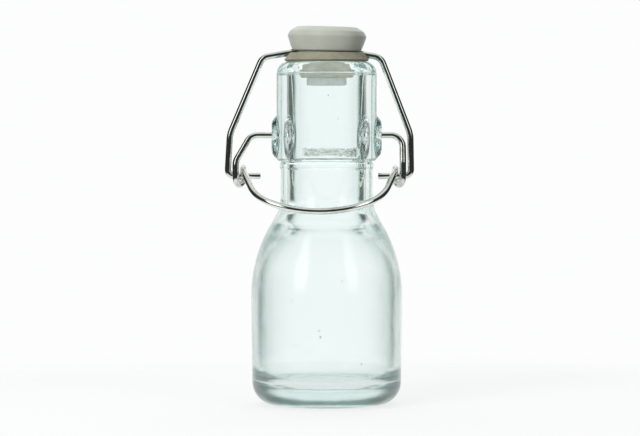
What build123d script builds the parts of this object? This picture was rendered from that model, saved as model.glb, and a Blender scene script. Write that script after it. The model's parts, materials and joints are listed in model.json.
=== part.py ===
"""Miniature swing-top glass bottle: bottle, stopper, gasket, wire bail and wire lever.

Millimetres, +Z up. The origin is on the bottle's axis, level with the surface it stands on.
The handle of the lever hangs at the front, which is -Y. The bottle is drawn closed.
"""
import os
from math import acos, asin, atan2, cos, pi, sin, sqrt

from build123d import *

# Bottle, outside
body_radius = 21.6
heel_taper = 0.3            # the barrel narrows by this much towards the heel
heel_radius = 6.5
foot_inner_radius = 12.4
push_up_height = 1.7
barrel_top = 31.0           # where the shoulder starts
shoulder_radius = 40.4
neck_flare_radius = 13.7
neck_radius = 13.15
bead_radius = 13.4
bead_low, bead_high = 67.3, 69.2
bead_bevel = 0.4
collar_radius = 14.35
collar_bottom = 69.7
collar_bevel = 0.5
collar_undercut = 0.2       # the collar's underside slopes down this much towards the neck
lip_seam_height = 94.85     # the mould's parting line under the lip
lip_seam_step = 0.13
lip_top = 98.0

# Bottle, inside
cavity_radius = 18.8
floor_height = 5.6
cavity_heel_radius = 5.5
cavity_barrel_top = 34.5
cavity_shoulder_radius = 20.0
cavity_flare_radius = 7.0
bore_radius = 9.5
bore_top = 90.2             # above this the mouth opens out a little
mouth_radius = 9.7
mouth_edge_radius = 0.9

# Pivot bosses on the collar
pivot_height = 77.0
boss_root = 10.7            # distance of each boss's buried end from the axis
boss_face = 15.75           # distance of each boss's face from the axis
boss_drop = 0.6             # each boss is centred this far below its pivot
boss_half_height = 6.4
boss_half_width = 4.8
boss_edge_radius = 2.9
boss_blend_radius = 1.5     # the hollow where each boss grows out of the collar
recess_floor = 11.4         # distance of each recess's blind end from the axis
recess_mouth_radius = 2.7
recess_taper_depth = 2.3

# Wire
wire_radius = 0.95
running_gap = 0.09          # radial
wire_offset = -2.1          # the two wires hang this far to the left, by the play in the pivots

# Lever
lever_end = 12.0            # distance of each end from the axis, inside its recess
arm_corner = 21.7
arm_corner_radius = 3.4
arm_lower_radius = 4.0
arm_straight = 4.3          # straight run down into the coil
coil_height = 65.3
coil_behind = 0.8           # over-centre distance of the coils behind the pivots
coil_radius = 2.3           # centre line
coil_outer_x = 23.85        # from the middle of the wires
coil_inner_x = 21.75
handle_low_point = (-15.75, 55.7)   # y and z of the middle of the handle
handle_lean = 17.0          # degrees, the handle's sides lean in by this much
handle_bend_radius = 4.0    # where each side turns in beside its coil
handle_side_radius = 13.0
handle_middle_radius = 27.0

# Bail
crossbar_height = 100.8
stub_end_x = 16.8
bail_foot_x = 26.25
bail_bend = (25.8, 77.3)    # x and z where each leg turns inwards
bail_corner = (16.9, 99.2)
crossbar_straight = 7.5
bail_radii = (1.9, 9.0, 3.2, 14.0)
bail_skew = 0.7             # the crossbar sits this much further right than the stubs

# Stopper and gasket
head_tilt = 1.6             # degrees, the head sits a little crooked
head_wide_height = 105.3
head_wide_radius = 11.3
head_foot_radius = 10.0
head_foot_height = 101.0
head_bevels = ((0.8, 1.4), (2.8, 2.6))   # inwards and up from the widest ring
head_edge_radius = 0.9
edge_break = 0.3
hub_radius = 8.2
hub_bottom = 99.2
stem_radius = 4.2
nose_radius = 5.7
nose_bottom, nose_top = 91.0, 93.2
notch_x = 0.4
notch_size = (0.9, 1.6, 1.2)
fit_gap = 0.05              # between the stem and the gasket on it
gasket_gap = 0.12           # between the gasket and the lip
gasket_top = 100.55
gasket_top_radius = 10.6
gasket_rim_radius = 12.1
gasket_cone_top_radius = 8.8
gasket_cone_foot_radius = 7.6
gasket_edge_break = 0.4
hole_straight = 4.6         # half-length of the close part of the cross-hole
hole_flare = 0.16           # how fast the cross-hole widens beyond that, radius per length


def revolve_profile(edges):
    """Solid of revolution about Z of a closed outline in the XZ plane, given as (radius, height)."""
    return revolve(make_face(Wire(edges)), Axis.Z, 360)


def at(radius, height):
    return Vector(radius, 0, height)


def joined(points):
    """Straight edges through the points, in order."""
    return [Line(a, b) for a, b in zip(points, points[1:])]


def shoulder_arcs(inner, outer, low, flare, crown):
    """Edges down from a neck of radius inner to a barrel of radius outer whose top is at low.

    A hollow arc of radius flare runs smoothly into a crowned arc of radius crown.
    """
    turn = acos(1 - (outer - inner) / (flare + crown))
    join = at(outer - crown * (1 - cos(turn)), low + crown * sin(turn))
    top = at(inner, join.Z + flare * sin(turn))
    flare_mid = at(inner + flare * (1 - cos(turn / 2)), top.Z - flare * sin(turn / 2))
    crown_mid = at(outer - crown * (1 - cos(turn / 2)), low + crown * sin(turn / 2))
    edges = [ThreePointArc(top, flare_mid, join), ThreePointArc(join, crown_mid, at(outer, low))]
    return top, edges


def quarter(start, end, centre, radius):
    """Quarter arc between two points about a centre."""
    middle = centre + ((start - centre) + (end - centre)).normalized() * radius
    return ThreePointArc(start, middle, end)


def bottle_outside():
    heel_top_radius = body_radius - heel_taper
    foot_outer = heel_top_radius - heel_radius
    neck_top, shoulder = shoulder_arcs(
        neck_radius, body_radius, barrel_top, neck_flare_radius, shoulder_radius
    )
    lip_radius = collar_radius - lip_seam_step
    lip_round = lip_top - lip_seam_height
    heel_start = at(heel_top_radius, heel_radius)
    heel_end = at(foot_outer, 0)
    heel = quarter(heel_start, heel_end, at(foot_outer, heel_radius), heel_radius)
    lip = quarter(
        at(lip_radius, lip_seam_height),
        at(lip_radius - lip_round, lip_top),
        at(lip_radius - lip_round, lip_seam_height),
        lip_round,
    )
    dome_radius = (foot_inner_radius**2 + push_up_height**2) / (2 * push_up_height)
    dome_centre = push_up_height - dome_radius
    dome_middle = dome_centre + sqrt(dome_radius**2 - (foot_inner_radius / 2) ** 2)
    push_up = ThreePointArc(
        at(foot_inner_radius, 0), at(foot_inner_radius / 2, dome_middle), at(0, push_up_height)
    )
    upper = joined([
        at(0, lip_top),
        at(lip_radius - lip_round, lip_top),
    ])
    finish = joined([
        at(lip_radius, lip_seam_height),
        at(collar_radius, lip_seam_height - lip_seam_step),
        at(collar_radius, collar_bottom + collar_bevel),
        at(collar_radius - collar_bevel, collar_bottom),
        at(neck_radius, collar_bottom - collar_undercut),
        at(neck_radius, bead_high),
        at(bead_radius, bead_high - bead_bevel),
        at(bead_radius, bead_low + bead_bevel),
        at(neck_radius, bead_low),
        neck_top,
    ])
    barrel = joined([at(body_radius, barrel_top), heel_start])
    foot = joined([heel_end, at(foot_inner_radius, 0)])
    axis = joined([at(0, push_up_height), at(0, lip_top)])
    return revolve_profile(upper + [lip] + finish + shoulder + barrel + [heel] + foot + [push_up] + axis)


def bottle_cavity():
    flare_top, shoulder = shoulder_arcs(
        bore_radius, cavity_radius, cavity_barrel_top, cavity_flare_radius, cavity_shoulder_radius
    )
    mouth = at(mouth_radius + mouth_edge_radius, lip_top)
    mouth_foot = at(mouth_radius, lip_top - mouth_edge_radius)
    edge = quarter(mouth, mouth_foot, at(mouth.X, mouth_foot.Z), mouth_edge_radius)
    heel_start = at(cavity_radius, floor_height + cavity_heel_radius)
    heel_end = at(cavity_radius - cavity_heel_radius, floor_height)
    heel = quarter(heel_start, heel_end, at(heel_end.X, heel_start.Z), cavity_heel_radius)
    throat = joined([mouth_foot, at(bore_radius, bore_top), flare_top])
    barrel = joined([at(cavity_radius, cavity_barrel_top), heel_start])
    close = joined([heel_end, at(0, floor_height), at(0, lip_top + 1), at(mouth.X, lip_top + 1), mouth])
    return revolve_profile([edge] + throat + shoulder + barrel + [heel] + close)


def boss_pad(side):
    """Lens-shaped pad of glass that a pivot recess is pressed into."""
    root = (side * boss_root, 0, pivot_height - boss_drop)
    base = Plane(origin=root, x_dir=(0, 1, 0), z_dir=(side, 0, 0))
    pad = extrude(base * Ellipse(boss_half_width, boss_half_height), boss_face - boss_root)
    outer_edge = pad.edges().sort_by(Axis.X)[-1 if side > 0 else 0]
    return fillet(outer_edge, boss_edge_radius)


def pivot_recess(side):
    """Blind recess in a boss: a tapered mouth, then a close round seat for the lever's end."""
    seat_radius = wire_radius + running_gap
    mouth_end = boss_face - recess_taper_depth
    outline = [
        at(0, recess_floor),
        at(seat_radius, recess_floor),
        at(seat_radius, mouth_end),
        at(recess_mouth_radius, boss_face),
        at(recess_mouth_radius, boss_face + 1),
        at(0, boss_face + 1),
        at(0, recess_floor),
    ]
    tool = revolve_profile(joined(outline))
    return Pos(0, 0, pivot_height) * Rot(0, side * 90, 0) * tool


def blend_bosses(glass):
    """Round the inner corner between the bosses and the collar."""
    curves = glass.edges().filter_by(GeomType.BSPLINE)
    corners = [edge for edge in curves if abs(edge.center().X) < collar_radius]
    return fillet(corners, boss_blend_radius)


def make_bottle():
    glass = bottle_outside()
    for side in (-1, 1):
        glass += boss_pad(side)
    glass = blend_bosses(glass) - bottle_cavity()
    for side in (-1, 1):
        glass -= pivot_recess(side)
    return glass


def sweep_wire(edges, radius=wire_radius):
    """Round wire along edges that follow on smoothly from each other."""
    path = Wire(edges)
    section = Plane(origin=path @ 0, z_dir=path % 0) * Circle(radius)
    return sweep(section, path=path)


def handle_frame():
    """Tangent line from the coils to the handle's low point: start (y, z), direction (y, z), length."""
    dy, dz = handle_low_point[0] - coil_behind, handle_low_point[1] - coil_height
    reach = sqrt(dy * dy + dz * dz)
    length = sqrt(reach * reach - coil_radius * coil_radius)
    # The wire leaves over the top of the coil, so it points further down than the coil's middle does.
    angle = atan2(dz, dy) + atan2(coil_radius, length)
    along = (cos(angle), sin(angle))
    start = (handle_low_point[0] - along[0] * length, handle_low_point[1] - along[1] * length)
    return start, along, length


def lever_side(side):
    """Edges of half the lever, from the pivot end to the middle of the handle."""
    outer_x = wire_offset + side * coil_outer_x
    inner_x = wire_offset + side * coil_inner_x
    (start_y, start_z), (along_y, along_z), length = handle_frame()
    front = coil_behind - coil_radius
    back = coil_behind + coil_radius
    coil_in = Vector(outer_x, front, coil_height)
    coil_back = Vector(inner_x, back, coil_height)
    half_turn = (coil_in - coil_back).length / 2
    arm = FilletPolyline(
        (side * lever_end, 0, pivot_height),
        (side * arm_corner, 0, pivot_height),
        (outer_x, front, coil_height + arm_straight),
        coil_in,
        radius=[arm_corner_radius, arm_lower_radius],
    )
    first = ThreePointArc(coil_in, Vector((outer_x + inner_x) / 2, coil_behind, coil_height - half_turn), coil_back)
    leave = Vector(inner_x, start_y, start_z)
    middle_angle = atan2(start_z - coil_height, start_y - coil_behind) / 2
    over = Vector(
        inner_x,
        coil_behind + coil_radius * cos(middle_angle),
        coil_height + coil_radius * sin(middle_angle),
    )
    second = ThreePointArc(coil_back, over, leave)

    def in_handle(across, along):
        return Vector(wire_offset + side * across, start_y + along_y * along, start_z + along_z * along)

    def on_bend(angle):
        return in_handle(
            coil_inner_x - handle_bend_radius * (1 - cos(angle)), handle_bend_radius * sin(angle)
        )

    lean = handle_lean * pi / 180
    bend_x = coil_inner_x - handle_bend_radius * (1 - cos(lean))
    bend_along = handle_bend_radius * sin(lean)
    centres = handle_middle_radius - handle_side_radius
    middle_centre = length - handle_middle_radius
    # The side arc starts where it touches the leaning side, and that fixes where the middle arc ends.
    offset = bend_x * cos(lean) + (bend_along - middle_centre) * sin(lean)
    turn = asin((offset - handle_side_radius) / centres) - lean
    side_centre = (centres * sin(turn), middle_centre + centres * cos(turn))

    def on_side(angle):
        return in_handle(
            side_centre[0] + handle_side_radius * sin(angle), side_centre[1] + handle_side_radius * cos(angle)
        )

    def on_middle(angle):
        return in_handle(
            handle_middle_radius * sin(angle), middle_centre + handle_middle_radius * cos(angle)
        )

    side_start = pi / 2 - lean
    bend = ThreePointArc(on_bend(0), on_bend(lean / 2), on_bend(lean))
    straight = Line(on_bend(lean), on_side(side_start))
    side_arc = ThreePointArc(on_side(side_start), on_side((side_start + turn) / 2), on_side(turn))
    middle_arc = ThreePointArc(on_side(turn), on_middle(turn / 2), on_middle(0))
    return [*arm.edges(), first, second, bend, straight, side_arc, middle_arc]


def make_lever():
    return sweep_wire(lever_side(-1)) + sweep_wire(lever_side(1))


def make_bail():
    """Bail: stubs through the coils, legs and the crossbar, all in one leaning plane."""

    def leaning(x, z):
        raised = (z - coil_height) / (crossbar_height - coil_height)
        return Vector(wire_offset + x + bail_skew * raised, coil_behind * (1 - raised), z)

    half = [
        (stub_end_x, coil_height),
        (bail_foot_x, coil_height),
        bail_bend,
        bail_corner,
        (crossbar_straight, crossbar_height),
    ]
    left = [leaning(-x, z) for x, z in half]
    right = [leaning(x, z) for x, z in reversed(half)]
    path = FilletPolyline(*left, *right, radius=[*bail_radii, *reversed(bail_radii)])
    return sweep_wire(path.edges())


def cross_hole():
    """Hole along X for the crossbar: close in the middle, flared towards both mouths."""
    close = wire_radius + running_gap
    reach = gasket_rim_radius + 3
    wide = close + (reach - hole_straight) * hole_flare
    outline = [
        at(0, -reach),
        at(wide, -reach),
        at(close, -hole_straight),
        at(close, hole_straight),
        at(wide, reach),
        at(0, reach),
        at(0, -reach),
    ]
    return Pos(0, 0, crossbar_height) * Rot(0, 90, 0) * revolve_profile(joined(outline))


def make_stopper():
    bevels = [at(head_wide_radius - inwards, head_wide_height + up) for inwards, up in head_bevels]
    head = revolve_profile(joined([
        at(0, head_foot_height),
        at(head_foot_radius - edge_break, head_foot_height),
        at(head_foot_radius, head_foot_height + edge_break),
        at(head_wide_radius, head_wide_height),
        *bevels,
        at(0, bevels[-1].Z),
        at(0, head_foot_height),
    ]))
    rims = head.edges().filter_by(GeomType.CIRCLE).sort_by(Axis.Z)[-3:]
    head = fillet(rims, head_edge_radius)
    head = Pos(0, 0, crossbar_height) * Rot(0, head_tilt, 0) * Pos(0, 0, -crossbar_height) * head
    core_top = head_foot_height + 1
    core = revolve_profile(joined([
        at(0, nose_bottom),
        at(nose_radius - edge_break, nose_bottom),
        at(nose_radius, nose_bottom + edge_break),
        at(nose_radius, nose_top),
        at(stem_radius, nose_top),
        at(stem_radius, hub_bottom),
        at(hub_radius, hub_bottom),
        at(hub_radius, core_top),
        at(0, core_top),
        at(0, nose_bottom),
    ]))
    notch = Pos(notch_x, -nose_radius, nose_bottom) * Box(*notch_size)
    return head + core - notch - cross_hole()


def make_gasket():
    """Rubber ring on the stem: a cone in the mouth and a wide rim that seals on the lip."""
    foot = nose_top + fit_gap
    seat = lip_top + gasket_gap
    ring_bore = stem_radius + fit_gap
    recess_radius = hub_radius + fit_gap
    recess_floor_height = hub_bottom - fit_gap
    ring = revolve_profile(joined([
        at(ring_bore, foot),
        at(gasket_cone_foot_radius - gasket_edge_break, foot),
        at(gasket_cone_foot_radius, foot + gasket_edge_break),
        at(gasket_cone_top_radius, seat),
        at(gasket_rim_radius - gasket_edge_break, seat),
        at(gasket_rim_radius, seat + gasket_edge_break),
        at(gasket_top_radius + gasket_edge_break, gasket_top - gasket_edge_break),
        at(gasket_top_radius, gasket_top),
        at(recess_radius, gasket_top),
        at(recess_radius, recess_floor_height),
        at(ring_bore, recess_floor_height),
        at(ring_bore, foot),
    ]))
    return ring - cross_hole()


parts = {
    "bottle": make_bottle(),
    "lever": make_lever(),
    "bail": make_bail(),
    "stopper": make_stopper(),
    "gasket": make_gasket(),
}

os.makedirs("parts", exist_ok=True)
for name, shape in parts.items():
    export_step(shape, f"parts/{name}.step")
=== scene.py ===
import json
import math

import bpy
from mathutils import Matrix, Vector


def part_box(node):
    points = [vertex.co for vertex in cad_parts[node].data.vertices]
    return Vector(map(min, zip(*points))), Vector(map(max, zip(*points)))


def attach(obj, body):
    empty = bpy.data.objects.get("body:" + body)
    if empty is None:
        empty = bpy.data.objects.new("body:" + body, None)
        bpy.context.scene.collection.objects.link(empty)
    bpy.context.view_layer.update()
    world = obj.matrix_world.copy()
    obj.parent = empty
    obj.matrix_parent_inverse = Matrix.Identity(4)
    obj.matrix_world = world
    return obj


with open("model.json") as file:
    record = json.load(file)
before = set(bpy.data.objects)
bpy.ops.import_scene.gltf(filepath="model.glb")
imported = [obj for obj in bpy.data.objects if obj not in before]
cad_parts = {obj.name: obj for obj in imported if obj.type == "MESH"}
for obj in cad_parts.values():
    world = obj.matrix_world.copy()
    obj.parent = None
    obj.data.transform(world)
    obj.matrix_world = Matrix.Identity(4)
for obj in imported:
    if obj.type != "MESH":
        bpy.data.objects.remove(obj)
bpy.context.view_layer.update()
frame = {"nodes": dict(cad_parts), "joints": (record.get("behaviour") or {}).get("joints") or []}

nodes = frame["nodes"]
joints = {joint["name"]: joint for joint in frame["joints"]}

# Metres. The bottle stands on z = 0 with its axis on Z, and its front is -Y.
MM = 0.001
lip_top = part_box("bottle")[1].z
pivot_height = joints["lever_hinge"]["pos_m"][2]
seam_height = lip_top - 3.15 * MM        # the mould's parting line under the lip
band_height = pivot_height - 4.7 * MM    # middle of the rough band on the collar's front
neck_foot = 62.0 * MM                    # the glass is clear above this
barrel_crown = 44.0 * MM                 # and softened by its waves below this

glass_ior = 1.52


# ---------------------------------------------------------------- shader helpers

class Shader:
    """A new material or world and short ways to add and join its nodes."""

    def __init__(self, owner):
        owner.use_nodes = True
        self.owner = owner
        self.tree = owner.node_tree
        self.tree.nodes.clear()

    def add(self, kind, inputs=None, **settings):
        node = self.tree.nodes.new(kind)
        for name, value in settings.items():
            setattr(node, name, value)
        for name, value in (inputs or {}).items():
            self.feed(node.inputs[name], value)
        return node

    def feed(self, socket, value):
        """Link another node's output to the socket, or set its value."""
        if isinstance(value, bpy.types.NodeSocket):
            self.tree.links.new(value, socket)
        else:
            socket.default_value = value

    def math(self, operation, *values):
        node = self.add("ShaderNodeMath", operation=operation)
        for socket, value in zip(node.inputs, values):
            self.feed(socket, value)
        return node.outputs[0]

    def folded(self, operation, first, *others):
        result = first
        for value in others:
            result = self.math(operation, result, value)
        return result

    def times(self, *values):
        return self.folded("MULTIPLY", *values)

    def largest(self, *values):
        return self.folded("MAXIMUM", *values)

    def away(self, value, centre=0.0):
        """How far the value is from the centre, on either side."""
        return self.math("ABSOLUTE", self.math("SUBTRACT", value, centre))

    def reach(self, a, b):
        """Length of the vector with these two parts."""
        return self.math("SQRT", self.math("ADD", self.times(a, a), self.times(b, b)))

    def smooth(self, value, low, high, at_low=0.0, at_high=1.0):
        """Runs smoothly from at_low to at_high as the value goes from low to high."""
        node = self.add("ShaderNodeMapRange", interpolation_type="SMOOTHSTEP")
        for name, number in zip(("Value", "From Min", "From Max", "To Min", "To Max"),
                                (value, low, high, at_low, at_high)):
            self.feed(node.inputs[name], number)
        return node.outputs["Result"]

    def noise(self, vector, scale, detail=3.0, roughness=0.5):
        inputs = {"Vector": vector, "Scale": scale, "Detail": detail, "Roughness": roughness}
        return self.add("ShaderNodeTexNoise", inputs).outputs["Fac"]

    def mix(self, fac, a, b):
        """Colour between a and b."""
        return self.add("ShaderNodeMix", {0: fac, 6: a, 7: b}, data_type="RGBA").outputs[2]

    def between(self, fac, a, b):
        """Number between a and b."""
        return self.add("ShaderNodeMix", {0: fac, 2: a, 3: b}).outputs[0]

    def object_point(self):
        return self.add("ShaderNodeTexCoord").outputs["Object"]

    def split(self, vector):
        return self.add("ShaderNodeSeparateXYZ", {0: vector}).outputs

    def stretched(self, vector, scale):
        return self.add("ShaderNodeMapping", {"Vector": vector, "Scale": scale}).outputs["Vector"]

    def bump(self, height, distance, strength=1.0, normal=None):
        inputs = {"Height": height, "Distance": distance, "Strength": strength}
        if normal is not None:
            inputs["Normal"] = normal
        return self.add("ShaderNodeBump", inputs).outputs["Normal"]

    def finish(self, surface, volume=None):
        output = self.add("ShaderNodeOutputMaterial", {"Surface": surface})
        if volume is not None:
            self.feed(output.inputs["Volume"], volume)
        return self.owner


def new_shader(name):
    return Shader(bpy.data.materials.new(name))


def dress(obj, material):
    obj.data.materials.clear()
    obj.data.materials.append(material)


# ---------------------------------------------------------------- glass

clear_glass = (0.966, 1.0, 0.995, 1.0)
edge_on_glass = (0.62, 0.80, 0.725, 1.0)
# Painted shade: the rough band on the collar's front is tinted this dark grey-green, standing in for
# the dark that the stippled glass scatters in.
band_shade_glass = (0.15, 0.205, 0.15, 1.0)
depth_tint = (0.35, 0.66, 0.60, 1.0)
depth_density = 12.0
barrel_roughness = 0.13
neck_roughness = 0.01


def rippled(s, point):
    """Slow waves in the surface, drawn out along the bottle."""
    waves = s.noise(s.stretched(point, (1.0, 1.0, 0.55)), 95.0, 2.0)
    return s.bump(waves, 0.22 * MM, 0.7)


def moulded(s, point, normal):
    """Uneven lip, the parting line under it and the mould's seam down both sides."""
    y, z = s.split(point)[1:]
    uneven = s.times(s.noise(point, 260.0, 2.0), s.smooth(z, seam_height, seam_height + 0.8 * MM))
    normal = s.bump(uneven, 0.3 * MM, 0.8, normal)
    from_parting = s.away(z, seam_height - 0.3 * MM)
    normal = s.bump(s.smooth(from_parting, 0.05 * MM, 0.5 * MM, 1.0, 0.0), 0.16 * MM, 1.0, normal)
    return s.bump(s.smooth(s.away(y), 0.05 * MM, 0.3 * MM, 1.0, 0.0), 0.06 * MM, 0.7, normal)


def pressed(s, point, normal):
    """Rough glass in the pivot recesses, less rough on the bosses round them."""
    x, y, z = s.split(point)
    from_pivot = s.reach(s.math("SUBTRACT", z, pivot_height), y)
    amount = s.times(
        s.smooth(s.away(x), 10.0 * MM, 11.0 * MM),
        s.smooth(s.away(y), 3.6 * MM, 4.6 * MM, 1.0, 0.0),
        s.smooth(from_pivot, 2.6 * MM, 5.0 * MM, 1.0, 0.12),
        s.smooth(from_pivot, 5.6 * MM, 7.2 * MM, 1.0, 0.0),
    )
    return s.bump(s.times(s.noise(point, 800.0, 2.0), amount), 0.5 * MM, 0.8, normal)


def rough_band(s, point):
    """Where the ragged band low on the collar's front is, and the streaks along it."""
    x, y, z = s.split(point)
    ragged = s.times(s.noise(point, 330.0, 4.0, 0.7), 1.6 * MM)
    from_band = s.math("ADD", s.away(z, band_height), ragged)
    amount = s.times(
        s.smooth(from_band, 1.6 * MM, 2.1 * MM, 1.0, 0.0),
        s.smooth(x, -7.4 * MM, -5.8 * MM),
        s.smooth(x, 8.2 * MM, 9.4 * MM, 1.0, 0.0),
        s.smooth(y, -12.0 * MM, -10.0 * MM, 1.0, 0.0),
    )
    streaks = s.noise(s.stretched(point, (0.22, 1.0, 1.0)), 1900.0, 3.0, 0.7)
    return amount, streaks


def make_glass():
    """Clear soda glass, green in depth and edge on, with the marks of cheap moulding."""
    s = new_shader("bottle_glass")
    point = s.object_point()
    band, streaks = rough_band(s, point)
    normal = pressed(s, point, moulded(s, point, rippled(s, point)))
    normal = s.bump(s.times(streaks, band), 0.6 * MM, 1.0, normal)

    edge_on = s.add("ShaderNodeLayerWeight", {"Blend": 0.5}).outputs["Facing"]
    tinted = s.mix(s.smooth(edge_on, 0.35, 0.85), clear_glass, edge_on_glass)
    # Painted shade: the rough band is darkened grey-green along its streaks.
    painted_band_shade = s.times(band, s.smooth(streaks, 0.35, 0.6, 0.35, 0.9))
    height = s.split(point)[2]
    glass = s.add("ShaderNodeBsdfPrincipled", {
        "Base Color": s.mix(painted_band_shade, tinted, band_shade_glass),
        "Roughness": s.smooth(height, barrel_crown, neck_foot, barrel_roughness, neck_roughness),
        "IOR": glass_ior,
        "Transmission Weight": 1.0,
        "Normal": normal,
    })
    tint = s.add("ShaderNodeVolumeAbsorption", {"Color": depth_tint, "Density": depth_density})
    return s.finish(glass.outputs[0], tint.outputs[0])


# ---------------------------------------------------------------- plastic, rubber and steel

# Each pair is the darker and the lighter colour of a cloudy surface.
head_plastic = ((0.55, 0.58, 0.50, 1.0), (0.61, 0.635, 0.56, 1.0))
# Painted light: the plastic inside the bottle's mouth is painted this much paler because little light
# reaches it through the glass.
paler_painted_light_plastic = ((0.90, 0.94, 0.90, 1.0), (0.94, 0.97, 0.94, 1.0))
rim_rubber = ((0.33, 0.31, 0.225, 1.0), (0.41, 0.385, 0.295, 1.0))
# Painted light: the cone inside the mouth is painted this much paler because little light reaches it
# through the glass.
cone_rubber_painted_light = ((0.70, 0.68, 0.58, 1.0), (0.78, 0.76, 0.66, 1.0))
bright_steel = (0.78, 0.80, 0.76)
dull_steel = (0.57, 0.58, 0.52)

tool_mark_pitch = 0.42 * MM
gate_radius = 1.0 * MM


def make_plastic():
    """Satin plastic in its own grey-green above the lip, painted much paler below it as painted light
    inside the mouth, with tool marks and a gate mark on top.
    """
    s = new_shader("stopper_satin_plastic")
    point = s.object_point()
    x, y, z = s.split(point)
    cloud = s.smooth(s.noise(point, 160.0, 4.0), 0.3, 0.7)
    painted_lit_plastic_colour = s.mix(cloud, *paler_painted_light_plastic)
    head_plastic_colour = s.mix(cloud, *head_plastic)
    grain = s.noise(point, 2600.0, 3.0)
    scuffs = s.noise(s.stretched(point, (1.0, 1.0, 5.0)), 700.0, 5.0, 0.65)
    radius = s.reach(x, y)
    tool_marks = s.math("SINE", s.times(radius, 2 * math.pi / tool_mark_pitch))
    gate = s.smooth(radius, gate_radius, gate_radius + 0.3 * MM)
    normal = s.bump(grain, 0.02 * MM, 0.5)
    normal = s.bump(tool_marks, 0.012 * MM, 0.4, normal)
    normal = s.bump(gate, 0.2 * MM, 0.6, normal)
    plastic = s.add("ShaderNodeBsdfPrincipled", {
        # Painted light: below the lip the plastic takes the paler colour.
        "Base Color": s.mix(s.smooth(z, lip_top - 2.0 * MM, lip_top), painted_lit_plastic_colour, head_plastic_colour),
        "Roughness": s.smooth(scuffs, 0.3, 0.75, 0.34, 0.5),
        "Normal": normal,
        "Subsurface Weight": 0.12,
        "Subsurface Scale": 2.0 * MM,
    })
    return s.finish(plastic.outputs[0])


def make_rubber():
    """Mottled beige rubber, painted much paler on the cone inside the mouth as painted light."""
    s = new_shader("gasket_beige_rubber")
    point = s.object_point()
    mottle = s.smooth(s.noise(point, 420.0, 5.0, 0.6), 0.32, 0.68)
    pores = s.noise(point, 3200.0, 3.0, 0.6)
    cone = s.mix(mottle, *cone_rubber_painted_light)
    rim = s.mix(mottle, *rim_rubber)
    height = s.split(point)[2]
    rubber = s.add("ShaderNodeBsdfPrincipled", {
        # Painted light: below the lip the rubber takes the paler cone colour.
        "Base Color": s.mix(s.smooth(height, lip_top - 0.4 * MM, lip_top), cone, rim),
        "Roughness": s.smooth(pores, 0.3, 0.7, 0.62, 0.85),
        "Normal": s.bump(pores, 0.04 * MM, 0.6),
    })
    return s.finish(rubber.outputs[0])


def make_steel(name, tone):
    """Bright drawn wire: fine lines along it and a few duller stains."""
    s = new_shader(name)
    point = s.object_point()
    drawn = s.noise(s.stretched(point, (1.0, 1.0, 0.12)), 5200.0, 3.0, 0.6)
    stain = s.noise(point, 240.0, 4.0, 0.6)
    bright, dull = [(*(tone * part for part in colour), 1.0) for colour in (bright_steel, dull_steel)]
    steel = s.add("ShaderNodeBsdfPrincipled", {
        "Base Color": s.mix(s.smooth(stain, 0.45, 0.75), bright, dull),
        "Metallic": 1.0,
        "Roughness": s.smooth(stain, 0.35, 0.75, 0.05, 0.16),
        "Normal": s.bump(drawn, 0.005 * MM, 0.5),
    })
    return s.finish(steel.outputs[0])


dress(nodes["bottle"], make_glass())
dress(nodes["stopper"], make_plastic())
dress(nodes["gasket"], make_rubber())
dress(nodes["bail"], make_steel("bail_steel", 0.95))
dress(nodes["lever"], make_steel("lever_steel", 1.0))


# ---------------------------------------------------------------- bubbles in the glass

# Angle in degrees from +X, then distance from the axis, height and size in millimetres.
bubbles = [
    (-95, 20.2, 20.6, 0.22),
    (-96, 20.3, 22.4, 0.15),
    (-78, 20.1, 36.2, 0.14),
    (-62, 20.2, 12.9, 0.18),
    (-118, 20.3, 30.5, 0.13),
    (-88, 11.6, 88.3, 0.16),
    (-101, 9.5, 3.4, 0.24),
    (35, 20.2, 25.4, 0.17),
    (118, 20.2, 15.8, 0.2),
    (160, 20.3, 33.1, 0.15),
    (70, 11.8, 81.7, 0.15),
]
bubble_stretch = 1.7    # along the bottle


def make_air():
    """What a bubble holds, as seen from inside the glass."""
    s = new_shader("seed_air")
    mist = s.noise(s.object_point(), 4000.0, 2.0)
    air = s.add("ShaderNodeBsdfPrincipled", {
        "Base Color": (1.0, 1.0, 1.0, 1.0),
        "Roughness": s.smooth(mist, 0.3, 0.7, 0.0, 0.03),
        "IOR": 1 / glass_ior,
        "Transmission Weight": 1.0,
    })
    return s.finish(air.outputs[0])


def make_bubble(name, angle, radius, height, size):
    turn = math.radians(angle)
    place = (radius * math.cos(turn), radius * math.sin(turn), height)
    bpy.ops.mesh.primitive_uv_sphere_add(segments=16, ring_count=10, radius=size, location=place)
    bubble = bpy.context.object
    bubble.name = name
    bubble.scale.z = bubble_stretch
    bpy.ops.object.shade_smooth()
    dress(bubble, bubble_air)
    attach(bubble, "bottle")


bubble_air = make_air()
for number, (angle, *measures) in enumerate(bubbles):
    make_bubble(f"glass_seed_{number}", angle, *(measure * MM for measure in measures))


# ---------------------------------------------------------------- floor

floor_radius = 210 * MM
floor_drop = 0.1 * MM       # keeps the floor clear of the bottle's foot
floor_fade = (110 * MM, 200 * MM)


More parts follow.
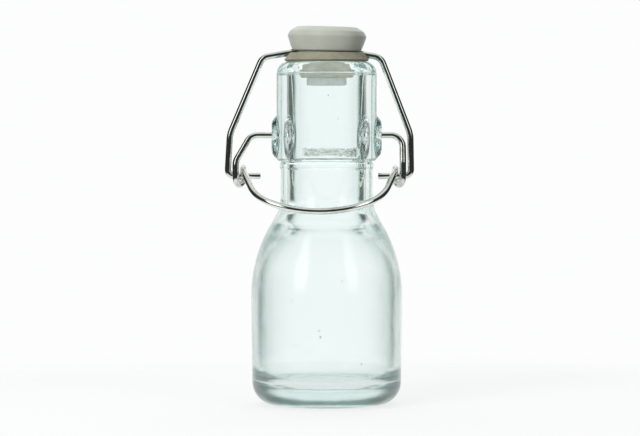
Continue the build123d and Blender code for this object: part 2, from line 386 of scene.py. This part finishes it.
def make_floor():
    """Pale disc that fades out before its edge."""
    bpy.ops.mesh.primitive_circle_add(
        vertices=96, radius=floor_radius, fill_type="NGON", location=(0, 0, -floor_drop)
    )
    floor = bpy.context.object
    floor.name = "floor"
    s = new_shader("floor_pale")
    point = s.object_point()
    from_middle = s.add("ShaderNodeVectorMath", {0: point}, operation="LENGTH").outputs["Value"]
    tooth = s.bump(s.noise(point, 900.0, 3.0), 0.02 * MM, 0.2)
    paper = s.add("ShaderNodeBsdfDiffuse", {"Color": (0.22, 0.225, 0.225, 1.0), "Normal": tooth})
    glow = s.add("ShaderNodeEmission", {"Color": (0.985, 0.99, 0.99, 1.0), "Strength": 0.77})
    pale = s.add("ShaderNodeAddShader", {0: paper.outputs[0], 1: glow.outputs[0]})
    clear = s.add("ShaderNodeBsdfTransparent")
    faded = s.smooth(from_middle, *floor_fade)
    surface = s.add("ShaderNodeMixShader", {0: faded, 1: pale.outputs[0], 2: clear.outputs[0]})
    dress(floor, s.finish(surface.outputs[0]))


make_floor()


# ---------------------------------------------------------------- light

tent_white = (0.982, 0.985, 0.985, 1.0)
opening_grey = (0.86, 1.0, 0.91, 1.0)
opening_level = 0.035


def make_tent(s, facing, x, z):
    """Brightness of a light tent: white behind, a soft box at each side in front, open between."""
    behind = s.smooth(facing, 0.60, 0.88, 0.0, 1.05)
    boxes = s.times(
        s.smooth(facing, -0.88, -0.80),
        s.smooth(facing, -0.70, -0.58, 1.0, 0.0),
        s.smooth(z, 0.0, 0.14),
        s.smooth(z, 0.65, 0.8, 1.0, 0.0),
        s.smooth(x, -0.6, 0.6, 2.3, 1.7),
    )
    above = s.smooth(z, 0.6, 0.9, 0.0, 0.8)
    return s.largest(behind, boxes, above, opening_level)


def make_fill(s, facing, z):
    """Softer level that light from inside the glass meets, dark only in two level openings."""
    openings = s.times(s.smooth(facing, 0.05, 0.3), s.smooth(s.away(z), 0.2, 0.6, 1.0, 0.0))
    room = s.smooth(facing, -0.45, 0.05, 0.95, 0.5)
    below = s.smooth(z, -0.4, -0.1, 1.3, 0.0)
    return s.largest(s.smooth(openings, 0.0, 1.0, room, 0.12), below)


def make_world():
    world = bpy.data.worlds.new("studio")
    bpy.context.scene.world = world
    s = Shader(world)
    x, y, z = s.split(s.add("ShaderNodeTexCoord").outputs["Generated"])
    facing = s.math("DIVIDE", y, s.largest(s.reach(x, y), 1e-4))   # 1 behind the bottle, -1 in front
    tent = make_tent(s, facing, x, z)
    path = s.add("ShaderNodeLightPath").outputs
    level = s.between(path["Is Transmission Ray"], tent, s.largest(tent, make_fill(s, facing, z)))
    level = s.between(path["Is Camera Ray"], level, 1.0)
    colour = s.mix(s.smooth(level, 0.1, 0.8), opening_grey, tent_white)
    background = s.add("ShaderNodeBackground", {"Color": colour, "Strength": level})
    s.add("ShaderNodeOutputWorld", {"Surface": background.outputs[0]})


def aim(obj, target):
    obj.rotation_mode = "QUATERNION"
    obj.rotation_quaternion = (Vector(target) - obj.location).to_track_quat("-Z", "Y")


def area_light(name, place, target, side, power):
    """Square lamp that lights the object but is not itself seen in steel or through glass."""
    data = bpy.data.lights.new(name, "AREA")
    data.size = side
    data.energy = power
    light = bpy.data.objects.new(name, data)
    bpy.context.collection.objects.link(light)
    light.location = place
    light.visible_glossy = False
    light.visible_transmission = False
    aim(light, target)


make_world()
area_light("top_softbox", (0.0, 0.1, 0.9), (0.0, 0.0, 0.05), 0.9, 1.6)
area_light("fill", (-0.45, -0.75, 0.35), (0.0, 0.0, 0.08), 0.5, 4.6)


# ---------------------------------------------------------------- camera

camera_distance = 900 * MM
camera_height = 84 * MM
view_height = 53.3 * MM     # height of the middle of the view, at the bottle
view_x = -1.9 * MM
view_width = 183 * MM       # how much the view takes in, at the bottle
sensor_width = 36.0


def make_camera():
    data = bpy.data.cameras.new("camera")
    data.sensor_width = sensor_width
    data.lens = sensor_width * camera_distance / view_width
    data.clip_start = 0.01
    data.clip_end = 50.0
    camera = bpy.data.objects.new("camera", data)
    bpy.context.collection.objects.link(camera)
    camera.location = (view_x, -camera_distance, camera_height)
    aim(camera, (view_x, 0.0, view_height))
    bpy.context.scene.camera = camera


make_camera()
scene = bpy.context.scene
scene.view_settings.view_transform = "Standard"
# Light runs round inside the thick glass of the heel and the lip many times before it leaves.
scene.cycles.max_bounces = 28
scene.cycles.glossy_bounces = 16
scene.cycles.transmission_bounces = 20
